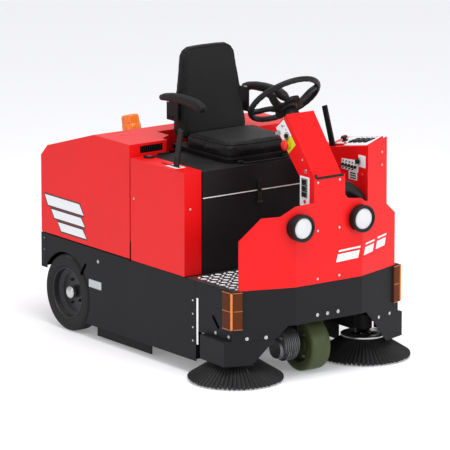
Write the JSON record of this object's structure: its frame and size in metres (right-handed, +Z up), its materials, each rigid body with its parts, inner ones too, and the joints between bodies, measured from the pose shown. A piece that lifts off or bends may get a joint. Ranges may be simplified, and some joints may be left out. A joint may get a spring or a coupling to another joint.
{
  "type": "ride-on floor sweeper",
  "caption": "Ride-on industrial sweeper with steered front drive wheel, side brooms, main broom, hopper, seat, steering column and rear hood.",
  "frame": {"origin": "centre of the overall box, on the floor under the wheels", "axes": "+Z up, -Y is forwards, the driver's right is -X"},
  "size_m": [1.388, 1.96, 1.655],
  "materials": {
    "red_paint": "satin powder coat",
    "black_paint": "fine textured powder coat",
    "bare_steel": "zinc plated",
    "tread_plate": "bright tread plate",
    "tyre_rubber": "matt",
    "drive_tyre_rubber": "satin polyurethane",
    "wheel_rim": "satin",
    "seat_vinyl": "grained vinyl",
    "black_plastic": "matt",
    "red_plastic": "gloss",
    "amber_lens": "gloss, see-through",
    "clear_lens": "gloss",
    "bristle": "matt strands",
    "motor_casting": "cast, dull",
    "battery_case": "matt",
    "filter_media": "pleated",
    "hopper_steel": "satin"
  },
  "bodies": {
    "machine": {"chassis_frame": "black_paint", "rear_axle": "black_paint", "skirt_right": "black_paint", "skirt_left": "black_paint", "front_bumper": "black_paint", "rear_bumper": "black_paint", "corner_marker_right": "amber_lens", "corner_marker_left": "amber_lens", "broom_guard_right": "black_paint", "broom_guard_left": "black_paint", "step_plate": "tread_plate", "front_panel": "red_paint", "headlight_housing_right": "black_plastic", "headlight_housing_left": "black_plastic", "headlight_lens_right": "clear_lens", "headlight_lens_left": "clear_lens", "steering_column_cover": "red_paint", "left_console": "red_paint", "side_panel_right": "red_paint", "side_panel_left": "red_paint", "battery_box": "black_paint", "battery_pack": "battery_case", "dust_filter": "filter_media", "vacuum_fan": "black_plastic"},
    "drive_unit": {"drive_fork": "black_paint", "drive_motor": "motor_casting"},
    "drive_wheel": {"drive_tyre": "drive_tyre_rubber"},
    "rear_wheel_right": {"rear_tyre_right": "tyre_rubber", "rear_rim_right": "wheel_rim"},
    "rear_wheel_left": {"rear_tyre_left": "tyre_rubber", "rear_rim_left": "wheel_rim"},
    "steering": {"steering_wheel": "black_plastic", "steering_shaft": "black_plastic"},
    "hood": {"rear_hood": "red_paint", "beacon_base": "black_plastic", "beacon_dome": "amber_lens"},
    "lid": {"battery_lid": "black_paint"},
    "latch": {"lid_latch": "black_plastic"},
    "seat": {"seat_pan": "black_paint", "seat_cushion": "seat_vinyl", "seat_back": "seat_vinyl"},
    "arm_right": {"armrest_right": "seat_vinyl"},
    "arm_left": {"armrest_left": "seat_vinyl"},
    "broom_arm_right": {"side_broom_motor_right": "black_paint"},
    "broom_arm_left": {"side_broom_motor_left": "black_paint"},
    "broom_right": {"side_broom_right": "bristle"},
    "broom_left": {"side_broom_left": "bristle"},
    "cradle": {"main_broom_cradle": "black_paint"},
    "roller": {"main_broom": "bristle"},
    "main_lever": {"main_broom_lever": "black_plastic"},
    "side_lever": {"side_broom_lever": "black_plastic"},
    "pedal": {"accelerator_pedal": "black_plastic"},
    "stop_button": {"emergency_stop": "red_plastic"},
    "key": {"key_switch": "bare_steel"},
    "light_knob": {"column_knob": "black_plastic"},
    "speed_knob": {"console_knob": "black_plastic"},
    "rocker_1": {"rocker_switch_1": "black_plastic"},
    "rocker_2": {"rocker_switch_2": "black_plastic"},
    "rocker_3": {"rocker_switch_3": "black_plastic"},
    "bin": {"hopper": "hopper_steel"}
  },
  "joints": [
    {"name": "drive_steer", "type": "hinge", "parent": "machine", "child": "drive_unit", "pos_m": [0, -0.732, 0.45], "axis": [0, 0, 1], "range_deg": [-80, 80]},
    {"name": "drive_roll", "type": "hinge", "parent": "drive_unit", "child": "drive_wheel", "pos_m": [0, -0.732, 0.143], "axis": [1, 0, 0], "continuous": true},
    {"name": "rear_roll_right", "type": "hinge", "parent": "machine", "child": "rear_wheel_right", "pos_m": [-0.5, 0.736, 0.216], "axis": [1, 0, 0], "continuous": true},
    {"name": "rear_roll_left", "type": "hinge", "parent": "machine", "child": "rear_wheel_left", "pos_m": [0.5, 0.736, 0.216], "axis": [1, 0, 0], "continuous": true},
    {"name": "steering_turn", "type": "hinge", "parent": "machine", "child": "steering", "pos_m": [0, -0.532, 1.45], "axis": [0, 0.6691, 0.7431], "range_deg": [-320, 320]},
    {"name": "hood_open", "type": "hinge", "parent": "machine", "child": "hood", "pos_m": [0, 0.98, 0.5265], "axis": [-1, 0, 0], "range_deg": [0, 60]},
    {"name": "lid_open", "type": "hinge", "parent": "machine", "child": "lid", "pos_m": [0, 0.106, 1.087], "axis": [-1, 0, 0], "range_deg": [0, 30]},
    {"name": "latch_open", "type": "hinge", "parent": "lid", "child": "latch", "pos_m": [-0.071, -0.4046, 0.99], "axis": [-1, 0, 0], "range_deg": [0, 80]},
    {"name": "seat_slide", "type": "slide", "parent": "lid", "child": "seat", "axis": [0, -1, 0], "range_m": [0, 0.1]},
    {"name": "armrest_flip_right", "type": "hinge", "parent": "seat", "child": "arm_right", "pos_m": [-0.28, 0.155, 1.378], "axis": [-1, 0, 0], "range_deg": [0, 90]},
    {"name": "armrest_flip_left", "type": "hinge", "parent": "seat", "child": "arm_left", "pos_m": [0.28, 0.155, 1.378], "axis": [-1, 0, 0], "range_deg": [0, 90]},
    {"name": "side_broom_lift_right", "type": "hinge", "parent": "machine", "child": "broom_arm_right", "pos_m": [-0.432, -0.407, 0.345], "axis": [-1, 0, 0], "range_deg": [0, 3]},
    {"name": "side_broom_lift_left", "type": "hinge", "parent": "machine", "child": "broom_arm_left", "pos_m": [0.432, -0.407, 0.345], "axis": [-1, 0, 0], "range_deg": [0, 3]},
    {"name": "side_broom_spin_right", "type": "hinge", "parent": "broom_arm_right", "child": "broom_right", "pos_m": [-0.432, -0.68, 0.14], "axis": [0, 0, 1], "continuous": true},
    {"name": "side_broom_spin_left", "type": "hinge", "parent": "broom_arm_left", "child": "broom_left", "pos_m": [0.432, -0.68, 0.14], "axis": [0, 0, 1], "continuous": true},
    {"name": "main_broom_lift", "type": "hinge", "parent": "machine", "child": "cradle", "pos_m": [0, -0.1, 0.34], "axis": [1, 0, 0], "range_deg": [0, 8]},
    {"name": "main_broom_spin", "type": "hinge", "parent": "cradle", "child": "roller", "pos_m": [0, 0.3, 0.172], "axis": [1, 0, 0], "continuous": true},
    {"name": "main_lever_pull", "type": "hinge", "parent": "machine", "child": "main_lever", "pos_m": [-0.5, -0.194, 0.9], "axis": [-1, 0, 0], "range_deg": [0, 24]},
    {"name": "side_lever_push", "type": "hinge", "parent": "machine", "child": "side_lever", "pos_m": [0.3, -0.608, 1.06], "axis": [1, 0, 0], "range_deg": [0, 20]},
    {"name": "pedal_press", "type": "hinge", "parent": "machine", "child": "pedal", "pos_m": [-0.2, -0.7, 0.545], "axis": [1, 0, 0], "range_deg": [0, 15], "stiffness_Nm_per_rad": 4, "springref_deg": -5.73},
    {"name": "stop_press", "type": "slide", "parent": "machine", "child": "stop_button", "axis": [1, 0, 0], "range_m": [0, 0.005]},
    {"name": "key_turn", "type": "hinge", "parent": "machine", "child": "key", "pos_m": [-0.09, -0.608, 1.29], "axis": [-1, 0, 0], "range_deg": [0, 70]},
    {"name": "light_knob_turn", "type": "hinge", "parent": "machine", "child": "light_knob", "pos_m": [-0.09, -0.678, 1.285], "axis": [-1, 0, 0], "range_deg": [-135, 135]},
    {"name": "speed_knob_turn", "type": "hinge", "parent": "machine", "child": "speed_knob", "pos_m": [0.269, -0.837, 1.129], "axis": [-1, 0, 0], "range_deg": [-135, 135]},
    {"name": "rocker_1_tip", "type": "hinge", "parent": "machine", "child": "rocker_1", "pos_m": [-0.0905, -0.832, 1.062], "axis": [0, 0, 1], "range_deg": [-8, 8]},
    {"name": "rocker_2_tip", "type": "hinge", "parent": "machine", "child": "rocker_2", "pos_m": [-0.0905, -0.832, 1.028], "axis": [0, 0, 1], "range_deg": [-8, 8]},
    {"name": "rocker_3_tip", "type": "hinge", "parent": "machine", "child": "rocker_3", "pos_m": [-0.0905, -0.832, 0.994], "axis": [0, 0, 1], "range_deg": [-8, 8]},
    {"name": "hopper_pull", "type": "slide", "parent": "machine", "child": "bin", "axis": [0, 1, 0], "range_m": [0, 0.4]}
  ],
  "couplings": [
    {"joint": "steering_turn", "follows": "drive_steer", "ratio": 4},
    {"joint": "side_broom_lift_left", "follows": "side_broom_lift_right", "ratio": 1},
    {"joint": "side_lever_push", "follows": "side_broom_lift_right", "ratio": 6.6},
    {"joint": "main_lever_pull", "follows": "main_broom_lift", "ratio": 3}
  ]
}
